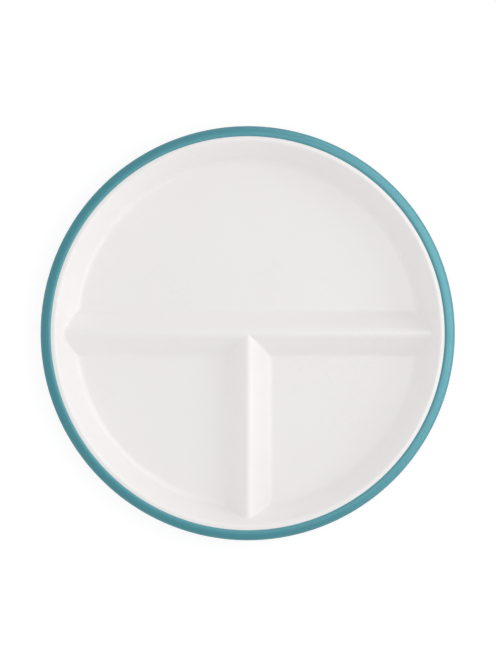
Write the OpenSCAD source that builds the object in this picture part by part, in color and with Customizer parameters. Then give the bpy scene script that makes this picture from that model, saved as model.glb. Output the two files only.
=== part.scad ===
// Round plate with three compartments: a moulded dish, a push-on rim ring and a grip ring in
// the foot. It stands on z = 0 and is centred on the z axis. The long divider lies along x
// across the whole dish, and the short divider runs from its middle towards -y.

/* [Plate] */
// Outside diameter, across the rim ring
plate_d = 200; // [180:1:240]
// Depth of the compartments, from the floor up to the crest of the lip
depth = 15.3; // [13:0.1:22]
// Thickness of the floor and the wall
wall_t = 2.4; // [1.8:0.1:3]
// Slope of the wall above the level, in degrees
wall_slope = 63; // [50:1:75]
// Radius of the fillet where the wall meets the floor
wall_fillet_r = 4; // [2:0.5:6]

/* [Dividers] */
// Height of the dividers above the floor
divider_h = 9.3; // [7:0.1:12]
// Slope of the dividers' sides above the level, in degrees
divider_slope = 45.5; // [38:0.5:60]
// Radius of the dividers' rounded crest
divider_crest_r = 3.5; // [3:0.1:5]
// Radius of the fillet where a divider meets the floor
divider_fillet_r = 3.5; // [1:0.1:5]

/* [Lip] */
// Width of the lip, from its crest out to the rim ring
lip_w = 1.5; // [1:0.1:2.5]
// Radius of the lip on its inner side
lip_inner_r = 1.5; // [1:0.1:2.5]
// Slope at which the lip falls away to the rim ring, in degrees
lip_fall = 20; // [10:1:45]
// Depth of the rim ring's seat below the crest of the lip
seat_drop = 3.1; // [2.6:0.1:4]
// Thickness of the flange that carries the rim ring
flange_t = 2; // [1.5:0.1:3]
// Radius of the fillet under the flange
flange_fillet_r = 1.5; // [0.5:0.1:2.5]

/* [Rim ring] */
// Width of the rim ring seen from above
ring_w = 5.2; // [4.5:0.1:6]
// Height of the rim ring's crest above the crest of the lip
ring_rise = 0.05; // [0:0.05:0.6]
// Distance from the rim ring's inner edge out to its crest
ring_inner_w = 1.3; // [1:0.1:2.2]
// Slope at which the rim ring falls away to the lip, in degrees
ring_fall = 20; // [10:1:60]
// Thickness of the skirt that hangs outside the flange
skirt_t = 2.4; // [1.8:0.1:3]
// Reach of the skirt below the flange
skirt_drop = 1.2; // [0.5:0.1:2]
// Radius of the skirt's lower edges
skirt_edge_r = 0.8; // [0.3:0.1:0.8]
// Clearance between the rim ring and the dish
ring_fit = 0.1; // [0.05:0.01:0.3]

/* [Foot] */
// Height of the underside of the floor above the table
foot_h = 3.4; // [2.8:0.1:5]
// Distance from the foot of the wall in to the middle of the foot
foot_inset = 4.5; // [4:0.1:20]
// Width of the foot
foot_w = 8; // [7:0.1:12]
// Radius of the foot's lower edges
foot_edge_r = 0.6; // [0.2:0.1:0.9]
// Width of the grip ring
grip_w = 5; // [3:0.1:5.5]
// Depth of the groove that holds the grip ring
grip_seat = 1.6; // [1:0.1:2]
// Distance that the grip ring stands out below the foot
grip_stand = 0.8; // [0.4:0.1:1.2]
// Radius of the grip ring's lower edges
grip_edge_r = 0.5; // [0.2:0.1:0.8]
// Clearance beside the grip ring in its groove
grip_fit = 0.05; // [0.02:0.01:0.1]

/* [Hidden] */
$fn = 180;
white = [0.92, 0.915, 0.905];
teal = [0.33, 0.58, 0.62];
arc_steps = 8;
overrun = wall_t;

// Heights
floor_z = foot_h + wall_t;
lip_z = floor_z + depth;
seat_z = lip_z - seat_drop;
flange_z = seat_z - flange_t;
ring_top_z = lip_z + ring_rise;
skirt_z = flange_z - skirt_drop;
groove_z = grip_stand + grip_seat;
crest_z = floor_z + divider_h;

// Radii of the rim, from the outside in
ring_outer_r = plate_d / 2;
skirt_inner_r = ring_outer_r - skirt_t;
flange_r = skirt_inner_r - ring_fit;
lip_outer_wall_r = ring_outer_r - ring_w;
ring_inner_r = lip_outer_wall_r + ring_fit;
ring_crest_r = ring_inner_r + ring_inner_w;
ring_outer_round_r = ring_outer_r - ring_crest_r;
ring_inner_round_r = ring_inner_w / sin(ring_fall);
lip_crest_r = lip_outer_wall_r - lip_w;
lip_outer_r = lip_w / sin(lip_fall);

// Radius at which the lines of the wall and the floor meet, and the middle of both fillets
wall_rise = depth - lip_inner_r * (1 - cos(wall_slope));
floor_r = lip_crest_r - lip_inner_r * sin(wall_slope) - wall_rise / tan(wall_slope);
fillet_mid = [floor_r - wall_fillet_r * tan(wall_slope / 2), floor_z + wall_fillet_r];

// Radii of the foot and of the grip ring in it
foot_mid_r = floor_r - foot_inset;
foot_inner_r = foot_mid_r - foot_w / 2;
foot_outer_r = foot_mid_r + foot_w / 2;
grip_inner_r = foot_mid_r - grip_w / 2;
grip_outer_r = foot_mid_r + grip_w / 2;

// A divider's section: middles of the crest and of the fillet at its foot, above the floor
crest_mid = [0, divider_h - divider_crest_r];
flank_rise = divider_h - divider_crest_r * (1 - cos(divider_slope));
flank_foot = divider_crest_r * sin(divider_slope) + flank_rise / tan(divider_slope);
divider_half_w = flank_foot + divider_fillet_r * tan(divider_slope / 2);
divider_fillet_mid = [divider_half_w, divider_fillet_r];
core_r = foot_inner_r - wall_t;

// Points along an arc, from one angle to another
function arc(middle, r, from, to) =
    [for (i = [0:arc_steps]) let (a = from + (to - from) * i / arc_steps)
        middle + r * [cos(a), sin(a)]];

// The same arc without its first point, where another arc has just ended there
function arc_on(middle, r, from, to) =
    let (points = arc(middle, r, from, to)) [for (i = [1:arc_steps]) points[i]];

// Radius of the wall at a height, a given distance inside its thickness
function wall_r(z, inside) = floor_r + inside / sin(wall_slope) + (z - floor_z) / tan(wall_slope);

// Right half of a divider's section, from the floor to the crest, shrunk inwards
function divider_half(shrink) = concat(
    arc(divider_fillet_mid, divider_fillet_r + shrink, -90, -90 - divider_slope),
    arc(crest_mid, max(divider_crest_r - shrink, 0), 90 - divider_slope, 90));

// A divider's whole section, carried down below its foot
function divider_outline(shrink, below) =
    let (half = divider_half(shrink), last = len(half) - 1, low = -shrink - below)
    concat([[-divider_half_w, low], [divider_half_w, low]], half,
        [for (i = [last - 1:-1:0]) [-half[i].x, half[i].y]]);

// Floor, wall, lip and flange of the dish in section
module shell_section() {
    flange_fillet_mid = [wall_r(flange_z, wall_t) + flange_fillet_r * tan(wall_slope / 2),
        flange_z - flange_fillet_r];
    polygon(concat(
        [[0, foot_h]],
        arc(fillet_mid, wall_fillet_r + wall_t, -90, wall_slope - 90),
        arc(flange_fillet_mid, flange_fillet_r, 90 + wall_slope, 90),
        [[flange_r, flange_z], [flange_r, seat_z], [lip_outer_wall_r, seat_z]],
        arc([lip_crest_r, lip_z - lip_outer_r], lip_outer_r, 90 - lip_fall, 90),
        arc_on([lip_crest_r, lip_z - lip_inner_r], lip_inner_r, 90, 90 + wall_slope),
        arc(fillet_mid, wall_fillet_r, wall_slope - 90, -90),
        [[0, floor_z]]));
}

// Foot of the dish in section, set into the floor and grooved for the grip ring
module foot_section() {
    foot_top_z = foot_h + wall_t / 2;
    edge_z = grip_stand + foot_edge_r;
    difference() {
        polygon(concat(
            arc([foot_inner_r + foot_edge_r, edge_z], foot_edge_r, 180, 270),
            arc([foot_outer_r - foot_edge_r, edge_z], foot_edge_r, 270, 360),
            [[foot_outer_r, foot_top_z], [foot_inner_r, foot_top_z]]));
        translate([grip_inner_r - grip_fit, grip_stand - overrun])
            square([grip_w + 2 * grip_fit, grip_seat + overrun]);
    }
}

// Prism with a divider's section, standing on the floor along +x
module divider_prism(shrink, below, length) {
    translate([0, 0, floor_z])
        rotate([90, 0, 90])
        linear_extrude(length)
        polygon(divider_outline(shrink, below));
}

// The long divider and the short one that meets it in the middle, longer than the dish
module divider_tee(shrink, below) {
    translate([-ring_outer_r, 0, 0]) divider_prism(shrink, below, plate_d);
    rotate([0, 0, -90]) divider_prism(shrink, below, ring_outer_r);
}

// Space that the dividers fill: inside the dish, as far as the middle of its wall
module divider_bed() {
    bed_z = floor_z - wall_t / 2;
    top_z = crest_z + wall_t / 2;
    rotate_extrude()
        polygon([[0, bed_z], [wall_r(bed_z, wall_t / 2), bed_z],
            [wall_r(top_z, wall_t / 2), top_z], [0, top_z]]);
}

// White dish: floor, wall, lip, foot and dividers in one moulding, cored out under the dividers
module dish() {
    color(white)
    difference() {
        union() {
            rotate_extrude() union() {
                shell_section();
                foot_section();
            }
            intersection() {
                divider_bed();
                divider_tee(0, wall_t);
            }
        }
        intersection() {
            divider_tee(wall_t, overrun);
            cylinder(h = crest_z, r = core_r);
        }
    }
}

// Teal rim ring: a rounded bead beside the lip, with a skirt that pushes down over the flange
module rim_ring() {
    edge_z = skirt_z + skirt_edge_r;
    color(teal)
    rotate_extrude()
        polygon(concat(
            [[ring_inner_r, seat_z], [skirt_inner_r, seat_z]],
            arc([skirt_inner_r + skirt_edge_r, edge_z], skirt_edge_r, 180, 270),
            arc([ring_outer_r - skirt_edge_r, edge_z], skirt_edge_r, 270, 360),
            arc([ring_crest_r, ring_top_z - ring_outer_round_r], ring_outer_round_r, 0, 90),
            arc_on([ring_crest_r, ring_top_z - ring_inner_round_r], ring_inner_round_r,
                90, 90 + ring_fall)));
}

// Teal grip ring, pressed into the groove of the foot and standing out below it
module grip_ring() {
    color(teal)
    rotate_extrude()
        polygon(concat(
            [[grip_outer_r, groove_z], [grip_inner_r, groove_z]],
            arc([grip_inner_r + grip_edge_r, grip_edge_r], grip_edge_r, 180, 270),
            arc([grip_outer_r - grip_edge_r, grip_edge_r], grip_edge_r, 270, 360)));
}

dish();
rim_ring();
grip_ring();
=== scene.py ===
import math

import bmesh
import bpy
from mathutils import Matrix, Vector


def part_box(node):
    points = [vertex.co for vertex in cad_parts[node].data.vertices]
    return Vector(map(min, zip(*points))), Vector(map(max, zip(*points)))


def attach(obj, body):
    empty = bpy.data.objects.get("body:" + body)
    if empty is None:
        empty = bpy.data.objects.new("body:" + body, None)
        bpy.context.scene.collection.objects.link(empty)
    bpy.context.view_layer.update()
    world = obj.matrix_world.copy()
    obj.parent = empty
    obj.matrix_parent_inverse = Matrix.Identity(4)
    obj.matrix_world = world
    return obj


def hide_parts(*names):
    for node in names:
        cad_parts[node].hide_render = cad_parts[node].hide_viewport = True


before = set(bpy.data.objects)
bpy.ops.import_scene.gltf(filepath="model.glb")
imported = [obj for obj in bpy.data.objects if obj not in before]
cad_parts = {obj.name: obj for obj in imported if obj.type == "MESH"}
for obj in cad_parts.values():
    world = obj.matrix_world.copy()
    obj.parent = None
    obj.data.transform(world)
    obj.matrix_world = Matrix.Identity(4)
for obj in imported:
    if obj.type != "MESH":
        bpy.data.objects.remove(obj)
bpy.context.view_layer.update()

MM = 0.001

# Sizes that the frame gives
dish_low, dish_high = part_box("dish")
ring_low, ring_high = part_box("rim_ring")
grip_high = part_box("grip_ring")[1]
LIP_Z = dish_high.z
FLANGE_R = dish_high.x
FOOT_Z = dish_low.z
RING_R = ring_high.x
RING_TOP_Z = ring_high.z
SKIRT_Z = ring_low.z
GRIP_R = grip_high.x
GROOVE_Z = grip_high.z

# Dish
DEPTH = 15.3 * MM
WALL_T = 2.4 * MM
WALL_SLOPE = math.radians(63)
WALL_FILLET_R = 4 * MM
LIP_W = 1.5 * MM
LIP_INNER_R = 1.5 * MM
LIP_FALL = math.radians(20)
SEAT_DROP = 3.1 * MM
FLANGE_T = 2 * MM
FLANGE_FILLET_R = 1.5 * MM
FLANGE_EDGE_R = 0.3 * MM
FOOT_INSET = 4.5 * MM
FOOT_W = 8 * MM
FOOT_EDGE_R = 0.6 * MM
FOOT_ROOT_R = 0.5 * MM
GRIP_FIT = 0.05 * MM
GATE_R = 2 * MM
GATE_H = 0.35 * MM

# Dividers
DIVIDER_H = 9.3 * MM
DIVIDER_SLOPE = math.radians(45.5)
DIVIDER_CREST_R = 3.5 * MM
DIVIDER_FILLET_R = 3.5 * MM
VALLEY_BLEND = 1.4 * MM
CORE_DRAFT = 0.5 * MM

# Rim ring and grip ring, with the ring's clearance and the narrower seam that shows beside the lip
RING_W = 5.2 * MM
RING_FIT = 0.1 * MM
RING_SEAM = 0.02 * MM
RING_INNER_W = 1.3 * MM
RING_FALL = math.radians(20)
RING_SEAT_EDGE_R = 0.2 * MM
PARTING_W = 0.4 * MM
PARTING_DEPTH = 0.12 * MM
SKIRT_T = 2.4 * MM
SKIRT_EDGE_R = 0.8 * MM
GRIP_W = 5 * MM
GRIP_EDGE_R = 0.5 * MM
GRIP_RIBS = 4
GRIP_GROOVE_W = 0.5 * MM
GRIP_GROOVE_DEPTH = 0.3 * MM

# Derived heights and radii
FLOOR_Z = LIP_Z - DEPTH
UNDER_Z = FLOOR_Z - WALL_T
SEAT_Z = LIP_Z - SEAT_DROP
FLANGE_Z = SEAT_Z - FLANGE_T
LIP_WALL_R = RING_R - RING_W
RING_INNER_R = LIP_WALL_R + RING_SEAM
RING_CREST_R = LIP_WALL_R + RING_FIT + RING_INNER_W
RING_ROUND_R = RING_R - RING_CREST_R
RING_WIDEST_Z = RING_TOP_Z - RING_ROUND_R
LIP_CREST_R = LIP_WALL_R - LIP_W
LIP_OUTER_R = LIP_W / math.sin(LIP_FALL)
WALL_RISE = DEPTH - LIP_INNER_R * (1 - math.cos(WALL_SLOPE))
FLOOR_R = LIP_CREST_R - LIP_INNER_R * math.sin(WALL_SLOPE) - WALL_RISE / math.tan(WALL_SLOPE)
FILLET_MID_R = FLOOR_R - WALL_FILLET_R * math.tan(WALL_SLOPE / 2)
FILLET_MID_Z = FLOOR_Z + WALL_FILLET_R
FOOT_MID_R = FLOOR_R - FOOT_INSET
FOOT_INNER_R = FOOT_MID_R - FOOT_W / 2
FOOT_OUTER_R = FOOT_MID_R + FOOT_W / 2
CORE_R = FOOT_INNER_R - WALL_T
FLANK_RISE = DIVIDER_H - DIVIDER_CREST_R * (1 - math.cos(DIVIDER_SLOPE))
FLANK_FOOT = DIVIDER_CREST_R * math.sin(DIVIDER_SLOPE) + FLANK_RISE / math.tan(DIVIDER_SLOPE)
DIVIDER_HALF_W = FLANK_FOOT + DIVIDER_FILLET_R * math.tan(DIVIDER_SLOPE / 2)

# How finely the meshes follow the curves: degrees in a step of an arc, more on small edges
ARC_TURN = 7
EDGE_TURN = 18
EDGE_R = 1 * MM
FINE_R = 21 * MM
FINE_STEP = 0.75 * MM
FLOOR_STEP = 1.9 * MM
WALL_STEP = 0.9 * MM
CORE_STEP = 2.4 * MM
UNDER_STEP = 1.5 * MM
GATE_STEP = 0.4 * MM
MERGE = 0.001 * MM
ON_SURFACE = 0.002 * MM
SHARP_ANGLE = math.radians(38)
RING_STEPS = 360
# Turns and steps on one side of a divider, the finest beside it
DIVIDER_SECTORS = [(10, 25), (10, 12), (15, 12)]
OPEN_SECTOR = [(110, 55)]
CORNER_SECTOR = [(20, 16)]

# Colours
DISH_WHITE = (0.925, 0.908, 0.899)
DISH_WHITE_LOW = (0.917, 0.898, 0.888)
DISH_SCUFF = (0.72, 0.70, 0.67)
RING_TEAL = (0.028, 0.209, 0.259)
RING_TEAL_LOW = (0.025, 0.201, 0.250)
RING_TEAL_WORN = (0.039, 0.234, 0.284)
RING_SHEEN = (0.7, 1, 1)
GRIP_TEAL = (0.05, 0.225, 0.27)
GRIP_TEAL_LOW = (0.044, 0.205, 0.25)
GRIP_DUST = (0.30, 0.36, 0.37)
FLOOR_COLOUR = (0.45, 0.45, 0.45)

# Skin of the mouldings: average and detail of its noises, and the stretch of the mottle that shows
NOISE_AVERAGE = 0.5
GRAIN_DETAIL = 2
MOTTLE_DETAIL = 3
MOTTLE_STRETCH = (0.3, 0.7)

# Rub marks: directions, length against spacing, width of a line, and the patches they come in
RUB_TURNS = (0.5, 2.1)
RUB_LENGTH = 16
RUB_DETAIL = 1
RUB_LINE = 0.02
RUB_PATCHES = 28
RUB_PATCH_STRETCH = (0.5, 0.65)

# Worn bands: the noise that frays their edges
FRAY = 260

# White finish: grain, mottle and rub marks per metre, gloss, polished lip and scuffed foot
DISH_GRAIN = 900
DISH_GRAIN_DEPTH = 0.01 * MM
DISH_MOTTLE = 45
DISH_ROUGHNESS = (0.33, 0.38)
DISH_SPECULAR = 0.22
DISH_RUBS = 960
DISH_RUB_TONE = 0.2
DISH_RUB_ROUGHNESS = 0.1
LIP_POLISH_H = 0.9 * MM
LIP_POLISH_FRAY = 0.6 * MM
LIP_POLISH_GLOSS = 0.06
FOOT_SCUFF_H = 0.9 * MM
FOOT_SCUFF_FRAY = 1.2 * MM
FOOT_SCUFF_TONE = 0.6
FOOT_SCUFF_ROUGHNESS = 0.25

# Teal finish of the rim ring: grain, mottle and rub marks per metre, gloss and polished crest
RING_GRAIN = 2600
RING_GRAIN_DEPTH = 0.016 * MM
RING_MOTTLE = 70
RING_ROUGHNESS = (0.44, 0.54)
RING_SPECULAR = 0.88
RING_RUBS = 1440
RING_RUB_TONE = 0.5
RING_POLISH_H = 1.1 * MM
RING_POLISH_FRAY = 0.9 * MM
RING_POLISH_TONE = 0.25
RING_POLISH_GLOSS = 0.07

# Teal rubber of the grip ring: grain and mottle per metre, gloss and dust
GRIP_GRAIN = 1800
GRIP_GRAIN_DEPTH = 0.015 * MM
GRIP_MOTTLE = 120
GRIP_ROUGHNESS = (0.62, 0.85)
GRIP_DUST_H = 0.35 * MM
GRIP_DUST_FRAY = 0.3 * MM
GRIP_DUST_TONE = 0.6

# Studio: the even light, the lamps, and the floor with its share of white
EVEN_LIGHT = 0.833
SOFTBOX = {"azimuth": 8, "elevation": 20, "distance": 1.5, "size": (0.9, 0.9), "watts": 4.4}
CARD_ABOVE = {"azimuth": 12, "elevation": 65, "distance": 0.55, "size": (0.6, 0.34), "watts": 2}
CARD_BESIDE = {"azimuth": 15, "elevation": 14, "distance": 0.5, "size": (2.4, 0.44), "watts": 12}
FLOOR_LIFT = 0.68
FLOOR_RADIUS = 6
FLOOR_SIDES = 96

# Photograph's frame, with the middle and the radius of the plate in it
PHOTO_W, PHOTO_H = 496, 664
PLATE_X_PX, PLATE_Y_PX = 247.7, 333.2
PLATE_R_PX = 207.1
LENS = 110
SENSOR = 36


def arc(mid, radius, start, end):
    """Points (r, z) along an arc, from one angle in degrees to another."""
    steps = math.ceil(abs(end - start) / (ARC_TURN if radius > EDGE_R else EDGE_TURN))
    turns = [math.radians(start + (end - start) * i / steps) for i in range(steps + 1)]
    return [(mid[0] + radius * math.cos(a), mid[1] + radius * math.sin(a)) for a in turns]


def between(start, end, step):
    """Points inside a straight stretch, about one step apart, without its ends."""
    count = max(1, round(math.dist(start, end) / step))
    shares = [i / count for i in range(1, count)]
    return [tuple(a + (b - a) * s for a, b in zip(start, end)) for s in shares]


def wall_r(z, inside):
    """Radius of the wall at a height, a given distance inside its thickness."""
    return FLOOR_R + inside / math.sin(WALL_SLOPE) + (z - FLOOR_Z) / math.tan(WALL_SLOPE)


def wall_lift(r):
    """Height of the inside of the wall above the floor."""
    out = r - FILLET_MID_R
    if out <= 0:
        return 0
    if out < WALL_FILLET_R * math.sin(WALL_SLOPE):
        return WALL_FILLET_R - math.sqrt(WALL_FILLET_R ** 2 - out ** 2)
    return (r - FLOOR_R) * math.tan(WALL_SLOPE)


def divider_lift(across, shrink=0):
    """Height of a divider's section above the floor, shrunk inwards for the hollow below it."""
    across = abs(across)
    crest = DIVIDER_CREST_R - shrink
    foot = DIVIDER_FILLET_R + shrink
    crest_z = DIVIDER_H - DIVIDER_CREST_R
    if across <= crest * math.sin(DIVIDER_SLOPE):
        return crest_z + math.sqrt(crest ** 2 - across ** 2)
    if across >= DIVIDER_HALF_W:
        return -shrink
    if across > DIVIDER_HALF_W - foot * math.sin(DIVIDER_SLOPE):
        return DIVIDER_FILLET_R - math.sqrt(foot ** 2 - (DIVIDER_HALF_W - across) ** 2)
    flank = (across - crest * math.sin(DIVIDER_SLOPE)) * math.tan(DIVIDER_SLOPE)
    return crest_z + crest * math.cos(DIVIDER_SLOPE) - flank


def valley(a, b, width):
    """The higher of two heights, with a fillet where they cross that dies out on the floor."""
    width = min(width, min(a, b) / 2)
    if width <= 0:
        return max(a, b)
    near = max(width - abs(a - b), 0) / width
    return max(a, b) + near ** 2 * width / 4


def inside_lift(x, y):
    """Height of the inside of the dish above its floor."""
    long_one = divider_lift(y)
    short_one = divider_lift(x) if y < 0 else 0
    below_crest = DIVIDER_H - max(long_one, short_one)
    dividers = valley(long_one, short_one, min(VALLEY_BLEND, below_crest))
    return valley(dividers, wall_lift(math.hypot(x, y)), VALLEY_BLEND)


def hollow_lift(x, y):
    """Height of the hollow under the dividers, above the floor's upper face."""
    long_one = divider_lift(y, WALL_T)
    short_one = divider_lift(x, WALL_T) if y < 0 else -WALL_T
    gate_drop = GATE_H * max(1 - (x * x + y * y) / GATE_R ** 2, 0)
    return max(long_one, short_one) - gate_drop


def plate_sectors():
    """Turns and steps once round the dish, from the right-hand end of the long divider."""
    after = DIVIDER_SECTORS
    before = DIVIDER_SECTORS[::-1]
    return (after + OPEN_SECTOR + before + after + CORNER_SECTOR + before
            + after + CORNER_SECTOR + before)


def add_outline(bm, outline, closed):
    """Draws a section given as (r, z) and returns its vertices and edges."""
    verts = [bm.verts.new((r, 0, z)) for r, z in outline]
    ends = verts[1:] + verts[:1] if closed else verts[1:]
    return verts + [bm.edges.new(pair) for pair in zip(verts, ends)]


def spin_ring(bm, outline):
    """Turns a closed section once round the z axis."""
    bmesh.ops.spin(bm, geom=add_outline(bm, outline, closed=True), cent=(0, 0, 0), axis=(0, 0, 1),
                   angle=math.tau, steps=RING_STEPS, use_merge=True)


def spin_sectors(bm, outline, sectors):
    """Turns an open section round the z axis, with the steps that each sector asks for."""
    last = add_outline(bm, outline, closed=False)
    for turn, steps in sectors:
        made = bmesh.ops.spin(bm, geom=last, cent=(0, 0, 0), axis=(0, 0, 1),
                              angle=math.radians(turn), steps=steps)
        last = made["geom_last"]
    bmesh.ops.remove_doubles(bm, verts=bm.verts, dist=MERGE)


def finish_piece(name, bm, material, body, node):
    """Makes a piece from a bmesh, rides it on its body and lets it stand for its node."""
    bmesh.ops.recalc_face_normals(bm, faces=bm.faces)
    mesh = bpy.data.meshes.new(name)
    bm.to_mesh(mesh)
    bm.free()
    mesh.polygons.foreach_set("use_smooth", [True] * len(mesh.polygons))
    mesh.set_sharp_from_angle(angle=SHARP_ANGLE)
    mesh.materials.append(material)
    piece = bpy.data.objects.new(name, mesh)
    bpy.context.scene.collection.objects.link(piece)
    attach(piece, body)
    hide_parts(node)


def dish_outline():
    """The dish in section: over the floor, wall and lip, and back under the flange and the foot."""
    middle = (0, FLOOR_Z)
    fine_end = (FINE_R, FLOOR_Z)
    floor_end = (FILLET_MID_R, FLOOR_Z)
    slope = math.degrees(WALL_SLOPE)
    inner_fillet = arc((FILLET_MID_R, FILLET_MID_Z), WALL_FILLET_R, -90, slope - 90)
    lip_in = arc((LIP_CREST_R, LIP_Z - LIP_INNER_R), LIP_INNER_R, 90 + slope, 90)
    lip_out = arc((LIP_CREST_R, LIP_Z - LIP_OUTER_R), LIP_OUTER_R,
                  90, 90 - math.degrees(LIP_FALL))
    flange_edge = FLANGE_R - FLANGE_EDGE_R
    flange = (arc((flange_edge, SEAT_Z - FLANGE_EDGE_R), FLANGE_EDGE_R, 90, 0)
              + arc((flange_edge, FLANGE_Z + FLANGE_EDGE_R), FLANGE_EDGE_R, 0, -90))
    under_flange_r = wall_r(FLANGE_Z, WALL_T) + FLANGE_FILLET_R * math.tan(WALL_SLOPE / 2)
    under_flange = arc((under_flange_r, FLANGE_Z - FLANGE_FILLET_R), FLANGE_FILLET_R,
                       90, 90 + slope)
    return ([middle] + between(middle, fine_end, FINE_STEP)
            + [fine_end] + between(fine_end, floor_end, FLOOR_STEP)
            + inner_fillet + between(inner_fillet[-1], lip_in[0], WALL_STEP)
            + lip_in + lip_out[1:] + [(LIP_WALL_R, SEAT_Z)] + flange + under_flange
            + foot_outline() + under_outline())


def foot_outline():
    """The underside from the outer wall over the grooved foot to the inner side of the foot."""
    slope = math.degrees(WALL_SLOPE)
    outer_r = WALL_FILLET_R + WALL_T
    meet = math.degrees(math.asin((FOOT_OUTER_R + FOOT_ROOT_R - FILLET_MID_R) / outer_r))
    outer_fillet = arc((FILLET_MID_R, FILLET_MID_Z), outer_r, slope - 90, meet - 90)
    edge_z = FOOT_Z + FOOT_EDGE_R
    groove_in = GRIP_R - GRIP_W - GRIP_FIT
    groove_out = GRIP_R + GRIP_FIT
    groove = [(groove_out, FOOT_Z), (groove_out, GROOVE_Z),
              (groove_in, GROOVE_Z), (groove_in, FOOT_Z)]
    return (outer_fillet
            + [(FOOT_OUTER_R, outer_fillet[-1][1] - FOOT_ROOT_R)]
            + arc((FOOT_OUTER_R - FOOT_EDGE_R, edge_z), FOOT_EDGE_R, 0, -90)
            + groove
            + arc((FOOT_INNER_R + FOOT_EDGE_R, edge_z), FOOT_EDGE_R, -90, -180)
            + arc((FOOT_INNER_R - FOOT_ROOT_R, UNDER_Z - FOOT_ROOT_R), FOOT_ROOT_R, 0, 90))


def under_outline():
    """The underside of the floor from the foot to the middle."""
    core_end = (CORE_R, UNDER_Z)
    core_start = (CORE_R - CORE_DRAFT, UNDER_Z)
    fine_end = (FINE_R, UNDER_Z)
    middle = (0, UNDER_Z)
    gate_edge = (GATE_R, UNDER_Z)
    return ([core_end, core_start] + between(core_start, fine_end, CORE_STEP)
            + [fine_end] + between(fine_end, gate_edge, UNDER_STEP)
            + [gate_edge] + between(gate_edge, middle, GATE_STEP) + [middle])


def make_dish(material):
    """White dish, with the dividers raised on its floor and hollowed out below."""
    bm = bmesh.new()
    spin_sectors(bm, dish_outline(), plate_sectors())
    wall_top_r = LIP_CREST_R - LIP_INNER_R * math.sin(WALL_SLOPE)
    for vert in bm.verts:
        x, y, z = vert.co
        r = math.hypot(x, y)
        if r < wall_top_r and abs(z - FLOOR_Z - wall_lift(r)) < ON_SURFACE:
            vert.co.z = FLOOR_Z + inside_lift(x, y)
        elif r < CORE_R - CORE_DRAFT / 2 and abs(z - UNDER_Z) < ON_SURFACE:
            vert.co.z = FLOOR_Z + hollow_lift(x, y)
    finish_piece("dish_shell", bm, material, "plate", "dish")


def make_rim_ring(material):
    """Teal rim ring: a rounded bead beside the lip, with a skirt outside the flange."""
    skirt_r = RING_R - SKIRT_T
    edge_z = SKIRT_Z + SKIRT_EDGE_R
    seat_edge_z = SEAT_Z + RING_SEAT_EDGE_R
    inner_round_r = (RING_CREST_R - RING_INNER_R) / math.sin(RING_FALL)
    parting_z = RING_WIDEST_Z - PARTING_W
    parting_line = [(RING_R, parting_z - PARTING_W / 2), (RING_R - PARTING_DEPTH, parting_z),
                    (RING_R, parting_z + PARTING_W / 2)]
    outline = (arc((RING_INNER_R + RING_SEAT_EDGE_R, seat_edge_z), RING_SEAT_EDGE_R, 180, 270)
               + [(skirt_r, SEAT_Z)]
               + arc((skirt_r + SKIRT_EDGE_R, edge_z), SKIRT_EDGE_R, 180, 270)
               + arc((RING_R - SKIRT_EDGE_R, edge_z), SKIRT_EDGE_R, 270, 360)
               + parting_line
               + arc((RING_CREST_R, RING_WIDEST_Z), RING_ROUND_R, 0, 90)
               + arc((RING_CREST_R, RING_TOP_Z - inner_round_r), inner_round_r,
                     90, 90 + math.degrees(RING_FALL))[1:])
    bm = bmesh.new()
    spin_ring(bm, outline)
    finish_piece("rim_ring_bead", bm, material, "ring", "rim_ring")


def grip_grooves(start_r, end_r):
    """Grooves between the ribs of the grip ring's lower face, from one radius to another."""
    points = []
    for i in range(1, GRIP_RIBS):
        mid_r = start_r + (end_r - start_r) * i / GRIP_RIBS
        points += [(mid_r - GRIP_GROOVE_W / 2, 0), (mid_r - GRIP_GROOVE_W / 4, GRIP_GROOVE_DEPTH),
                   (mid_r + GRIP_GROOVE_W / 4, GRIP_GROOVE_DEPTH), (mid_r + GRIP_GROOVE_W / 2, 0)]
    return points


def make_grip_ring(material):
    """Teal grip ring in the groove of the foot, ribbed where it stands on the table."""
    inner_r = GRIP_R - GRIP_W
    outline = ([(GRIP_R, GROOVE_Z), (inner_r, GROOVE_Z)]
               + arc((inner_r + GRIP_EDGE_R, GRIP_EDGE_R), GRIP_EDGE_R, 180, 270)
               + grip_grooves(inner_r + GRIP_EDGE_R, GRIP_R - GRIP_EDGE_R)
               + arc((GRIP_R - GRIP_EDGE_R, GRIP_EDGE_R), GRIP_EDGE_R, 270, 360))
    bm = bmesh.new()
    spin_ring(bm, outline)
    finish_piece("grip_ring_pad", bm, material, "plate", "grip_ring")


def add_node(tree, kind, inputs=None, **settings):
    """Adds a node, with its settings and with its inputs set or linked."""
    node = tree.nodes.new(kind)
    for name, value in settings.items():
        setattr(node, name, value)
    for name, value in (inputs or {}).items():
        if isinstance(value, bpy.types.NodeSocket):
            tree.links.new(value, node.inputs[name])
        else:
            node.inputs[name].default_value = value
    return node


def add_math(tree, operation, first, second):
    """Adds a sum, product or other step on two values and returns its result."""
    return add_node(tree, "ShaderNodeMath", {0: first, 1: second}, operation=operation).outputs[0]


def add_share(tree, value, share):
    """Multiplies a value by a share, which is a number or another value."""
    return add_math(tree, "MULTIPLY", value, share)


def add_range(tree, value, low, high, start=0, end=1, smooth=False):
    """Carries a value from one range over to another, and stops it at the ends."""
    kind = "SMOOTHSTEP" if smooth else "LINEAR"
    inputs = {"Value": value, "From Min": low, "From Max": high, "To Min": start, "To Max": end}
    return add_node(tree, "ShaderNodeMapRange", inputs, interpolation_type=kind).outputs[0]


def add_noise(tree, place, scale, detail):
    """Adds a soft noise from 0 to 1 and returns its value."""
    inputs = {"Vector": place, "Scale": scale, "Detail": detail}
    return add_node(tree, "ShaderNodeTexNoise", inputs).outputs[0]


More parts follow.
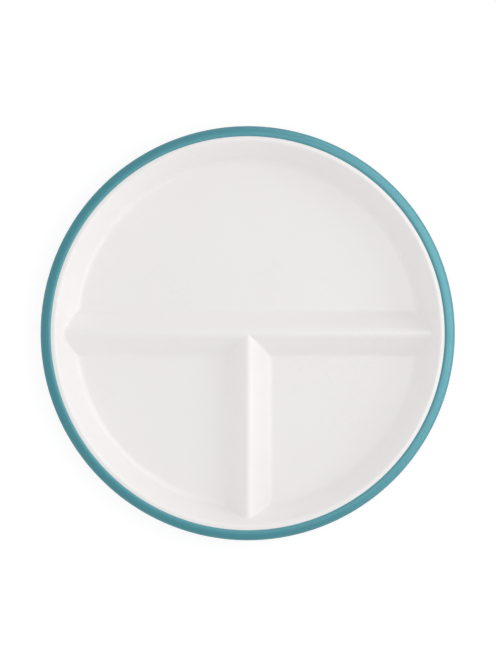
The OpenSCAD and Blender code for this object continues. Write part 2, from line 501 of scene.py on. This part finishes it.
def add_swing(tree, place, scale, detail):
    """Adds a soft noise and returns how far it swings to either side of its average."""
    return add_math(tree, "SUBTRACT", add_noise(tree, place, scale, detail), NOISE_AVERAGE)


def add_blend(tree, share, start, end):
    """Blends two colours."""
    mix = add_node(tree, "ShaderNodeMix", data_type="RGBA")
    for socket, value in (("Factor_Float", share), ("A_Color", start), ("B_Color", end)):
        target = next(s for s in mix.inputs if s.identifier == socket)
        if isinstance(value, bpy.types.NodeSocket):
            tree.links.new(value, target)
        else:
            target.default_value = (*value, 1)
    return next(s for s in mix.outputs if s.identifier == "Result_Color")


def new_group(name, inputs, outputs):
    """Starts a node group and returns its tree, its inputs and its output node."""
    tree = bpy.data.node_groups.new(name, "ShaderNodeTree")
    for way, sockets in (("INPUT", inputs), ("OUTPUT", outputs)):
        for socket in sockets:
            kind = "NodeSocketVector" if socket == "Place" else "NodeSocketFloat"
            tree.interface.new_socket(socket, in_out=way, socket_type=kind)
    return tree, tree.nodes.new("NodeGroupInput").outputs, tree.nodes.new("NodeGroupOutput").inputs


def moulded_skin_group():
    """Skin of a moulding: a fine grain for the bump, and a broad mottle for colour and gloss."""
    tree, given, made = new_group("moulded_skin", ["Place", "Grain", "Mottle"], ["Grain", "Mottle"])
    tree.links.new(add_noise(tree, given["Place"], given["Grain"], GRAIN_DETAIL), made["Grain"])
    mottle = add_noise(tree, given["Place"], given["Mottle"], MOTTLE_DETAIL)
    tree.links.new(add_range(tree, mottle, *MOTTLE_STRETCH), made["Mottle"])
    return tree


def rub_marks_group():
    """Hairline rub marks of handling and washing, in two directions and in patches."""
    tree, given, made = new_group("rub_marks", ["Place", "Scale"], ["Marks"])
    lines = []
    for turn in RUB_TURNS:
        inputs = {"Vector": given["Place"], "Rotation": (0, 0, turn),
                  "Scale": (RUB_LENGTH, 1, RUB_LENGTH)}
        drawn = add_node(tree, "ShaderNodeMapping", inputs, vector_type="TEXTURE").outputs[0]
        off_line = add_swing(tree, drawn, given["Scale"], RUB_DETAIL)
        lines.append(add_range(tree, add_math(tree, "ABSOLUTE", off_line, 0), RUB_LINE, 0))
    patches = add_noise(tree, given["Place"], RUB_PATCHES, GRAIN_DETAIL)
    patches = add_range(tree, patches, *RUB_PATCH_STRETCH)
    marks = add_share(tree, add_math(tree, "MAXIMUM", *lines), patches)
    tree.links.new(marks, made["Marks"])
    return tree


def worn_band_group():
    """A band of heights that gets the wear, from none at one height to full at another."""
    tree, given, made = new_group("worn_band", ["Place", "Bare", "Full", "Fray"], ["Wear"])
    height = add_node(tree, "ShaderNodeSeparateXYZ", {0: given["Place"]}).outputs["Z"]
    fray = add_swing(tree, given["Place"], FRAY, GRAIN_DETAIL)
    height = add_math(tree, "ADD", height, add_share(tree, fray, given["Fray"]))
    tree.links.new(add_range(tree, height, given["Bare"], given["Full"], smooth=True), made["Wear"])
    return tree


def start_material(name):
    """Starts a finish and returns it, its tree, its shader's inputs and the place on the piece."""
    material = bpy.data.materials.new(name)
    material.use_nodes = True
    tree = material.node_tree
    place = add_node(tree, "ShaderNodeTexCoord").outputs["Object"]
    return material, tree, tree.nodes["Principled BSDF"].inputs, place


def add_group(tree, group, **inputs):
    """Places a node group, with its inputs set or linked, and returns what it gives."""
    return add_node(tree, "ShaderNodeGroup", inputs, node_tree=group).outputs


def add_bump(tree, shader, height, depth):
    """Raises the surface by a height from 0 to 1, which stands for a depth in metres."""
    bump = add_node(tree, "ShaderNodeBump", {"Height": height, "Distance": depth})
    tree.links.new(bump.outputs["Normal"], shader["Normal"])


def dish_white_material(skin, rubs, band):
    """Satin white moulding: faint mottle, hairline rub marks, a polished lip and a scuffed foot."""
    material, tree, shader, place = start_material("satin_white")
    peel = add_group(tree, skin, Place=place, Grain=DISH_GRAIN, Mottle=DISH_MOTTLE)
    marks = add_group(tree, rubs, Place=place, Scale=DISH_RUBS)["Marks"]
    polish = add_group(tree, band, Place=place, Bare=LIP_Z - LIP_POLISH_H, Full=LIP_Z,
                       Fray=LIP_POLISH_FRAY)["Wear"]
    scuff = add_group(tree, band, Place=place, Bare=FOOT_Z + FOOT_SCUFF_H, Full=FOOT_Z,
                      Fray=FOOT_SCUFF_FRAY)["Wear"]
    white = add_blend(tree, peel["Mottle"], DISH_WHITE, DISH_WHITE_LOW)
    white = add_blend(tree, add_share(tree, marks, DISH_RUB_TONE), white, DISH_SCUFF)
    white = add_blend(tree, add_share(tree, scuff, FOOT_SCUFF_TONE), white, DISH_SCUFF)
    tree.links.new(white, shader["Base Color"])
    roughness = add_range(tree, peel["Mottle"], 0, 1, *DISH_ROUGHNESS)
    roughness = add_math(tree, "ADD", roughness, add_share(tree, marks, DISH_RUB_ROUGHNESS))
    roughness = add_math(tree, "ADD", roughness, add_share(tree, scuff, FOOT_SCUFF_ROUGHNESS))
    roughness = add_math(tree, "SUBTRACT", roughness, add_share(tree, polish, LIP_POLISH_GLOSS))
    tree.links.new(roughness, shader["Roughness"])
    shader["Specular IOR Level"].default_value = DISH_SPECULAR
    add_bump(tree, shader, peel["Grain"], DISH_GRAIN_DEPTH)
    return material


def ring_teal_material(skin, rubs, band):
    """Soft teal moulding: fine matt grain, a crest that hands have polished, faint rub marks."""
    material, tree, shader, place = start_material("soft_teal")
    grain = add_group(tree, skin, Place=place, Grain=RING_GRAIN, Mottle=RING_MOTTLE)
    marks = add_group(tree, rubs, Place=place, Scale=RING_RUBS)["Marks"]
    polish = add_group(tree, band, Place=place, Bare=RING_TOP_Z - RING_POLISH_H, Full=RING_TOP_Z,
                       Fray=RING_POLISH_FRAY)["Wear"]
    worn = add_math(tree, "MAXIMUM", add_share(tree, polish, RING_POLISH_TONE),
                    add_share(tree, marks, RING_RUB_TONE))
    teal = add_blend(tree, grain["Mottle"], RING_TEAL, RING_TEAL_LOW)
    teal = add_blend(tree, worn, teal, RING_TEAL_WORN)
    tree.links.new(teal, shader["Base Color"])
    roughness = add_range(tree, grain["Mottle"], 0, 1, *RING_ROUGHNESS)
    roughness = add_math(tree, "SUBTRACT", roughness, add_share(tree, polish, RING_POLISH_GLOSS))
    tree.links.new(roughness, shader["Roughness"])
    shader["Specular IOR Level"].default_value = RING_SPECULAR
    shader["Specular Tint"].default_value = (*RING_SHEEN, 1)
    add_bump(tree, shader, grain["Grain"], RING_GRAIN_DEPTH)
    return material


def grip_teal_material(skin, band):
    """Matt teal rubber, with dust from the table on its ribs."""
    material, tree, shader, place = start_material("grip_rubber")
    grain = add_group(tree, skin, Place=place, Grain=GRIP_GRAIN, Mottle=GRIP_MOTTLE)
    dust = add_group(tree, band, Place=place, Bare=GRIP_DUST_H, Full=0, Fray=GRIP_DUST_FRAY)["Wear"]
    dust = add_share(tree, dust, grain["Mottle"])
    teal = add_blend(tree, grain["Mottle"], GRIP_TEAL, GRIP_TEAL_LOW)
    teal = add_blend(tree, add_share(tree, dust, GRIP_DUST_TONE), teal, GRIP_DUST)
    tree.links.new(teal, shader["Base Color"])
    tree.links.new(add_range(tree, dust, 0, 1, *GRIP_ROUGHNESS), shader["Roughness"])
    add_bump(tree, shader, grain["Grain"], GRIP_GRAIN_DEPTH)
    return material


def seen_rays(tree):
    """1 for the rays that show the background: to the camera, in gloss and through glass."""
    path = add_node(tree, "ShaderNodeLightPath").outputs
    gloss = add_math(tree, "MAXIMUM", path["Is Glossy Ray"], path["Is Transmission Ray"])
    return add_math(tree, "MAXIMUM", path["Is Camera Ray"], gloss)


def floor_material():
    """Pale floor that shows white in the picture and keeps the plate's shadow."""
    material = bpy.data.materials.new("floor_pale")
    material.use_nodes = True
    tree = material.node_tree
    tree.nodes.clear()
    lift = add_share(tree, seen_rays(tree), FLOOR_LIFT)
    glow = add_node(tree, "ShaderNodeEmission", {"Strength": lift})
    matt = add_node(tree, "ShaderNodeBsdfDiffuse", {"Color": (*FLOOR_COLOUR, 1)})
    both = add_node(tree, "ShaderNodeAddShader", {0: matt.outputs[0], 1: glow.outputs[0]})
    add_node(tree, "ShaderNodeOutputMaterial", {"Surface": both.outputs[0]})
    return material


def make_floor():
    """Round floor that the plate stands on."""
    bm = bmesh.new()
    bmesh.ops.create_circle(bm, cap_ends=True, segments=FLOOR_SIDES, radius=FLOOR_RADIUS)
    mesh = bpy.data.meshes.new("floor")
    bm.to_mesh(mesh)
    bm.free()
    mesh.materials.append(floor_material())
    floor = bpy.data.objects.new("floor", mesh)
    bpy.context.scene.collection.objects.link(floor)


def make_world():
    """Even light from all round the plate, in front of a white background."""
    world = bpy.data.worlds.new("studio")
    world.use_nodes = True
    tree = world.node_tree
    tree.nodes.clear()
    level = add_range(tree, seen_rays(tree), 0, 1, EVEN_LIGHT, 1)
    light = add_node(tree, "ShaderNodeBackground", {"Color": (1, 1, 1, 1), "Strength": level})
    add_node(tree, "ShaderNodeOutputWorld", {"Surface": light.outputs[0]})
    bpy.context.scene.world = world


def make_lamp(name, azimuth, elevation, distance, size, watts):
    """Area lamp that faces the middle of the plate, from a direction given in degrees."""
    data = bpy.data.lights.new(name, "AREA")
    data.shape = "RECTANGLE"
    data.size, data.size_y = size
    data.energy = watts
    lamp = bpy.data.objects.new(name, data)
    up = math.radians(elevation)
    round_z = math.radians(azimuth)
    level = math.cos(up)
    towards = Vector((level * math.cos(round_z), level * math.sin(round_z), math.sin(up)))
    lamp.location = distance * towards
    lamp.rotation_euler = towards.to_track_quat("Z", "Y").to_euler()
    lamp.visible_camera = False
    bpy.context.scene.collection.objects.link(lamp)
    return lamp


def make_camera():
    """Camera straight above the plate, at the photograph's framing."""
    data = bpy.data.cameras.new("camera")
    data.lens = LENS
    data.sensor_width = SENSOR
    camera = bpy.data.objects.new("camera", data)
    px_per_m = PLATE_R_PX / RING_R
    distance = PHOTO_H * LENS / SENSOR / px_per_m
    camera.location = ((PHOTO_W / 2 - PLATE_X_PX) / px_per_m,
                       (PLATE_Y_PX - PHOTO_H / 2) / px_per_m, RING_WIDEST_Z + distance)
    bpy.context.scene.collection.objects.link(camera)
    bpy.context.scene.camera = camera


make_camera()
make_world()
make_floor()
make_lamp("softbox", **SOFTBOX).visible_glossy = False
make_lamp("card_above", **CARD_ABOVE).visible_diffuse = False
make_lamp("card_beside", **CARD_BESIDE).visible_diffuse = False
skin = moulded_skin_group()
rubs = rub_marks_group()
band = worn_band_group()
make_dish(dish_white_material(skin, rubs, band))
make_rim_ring(ring_teal_material(skin, rubs, band))
make_grip_ring(grip_teal_material(skin, band))

bpy.context.scene.view_settings.view_transform = "Standard"
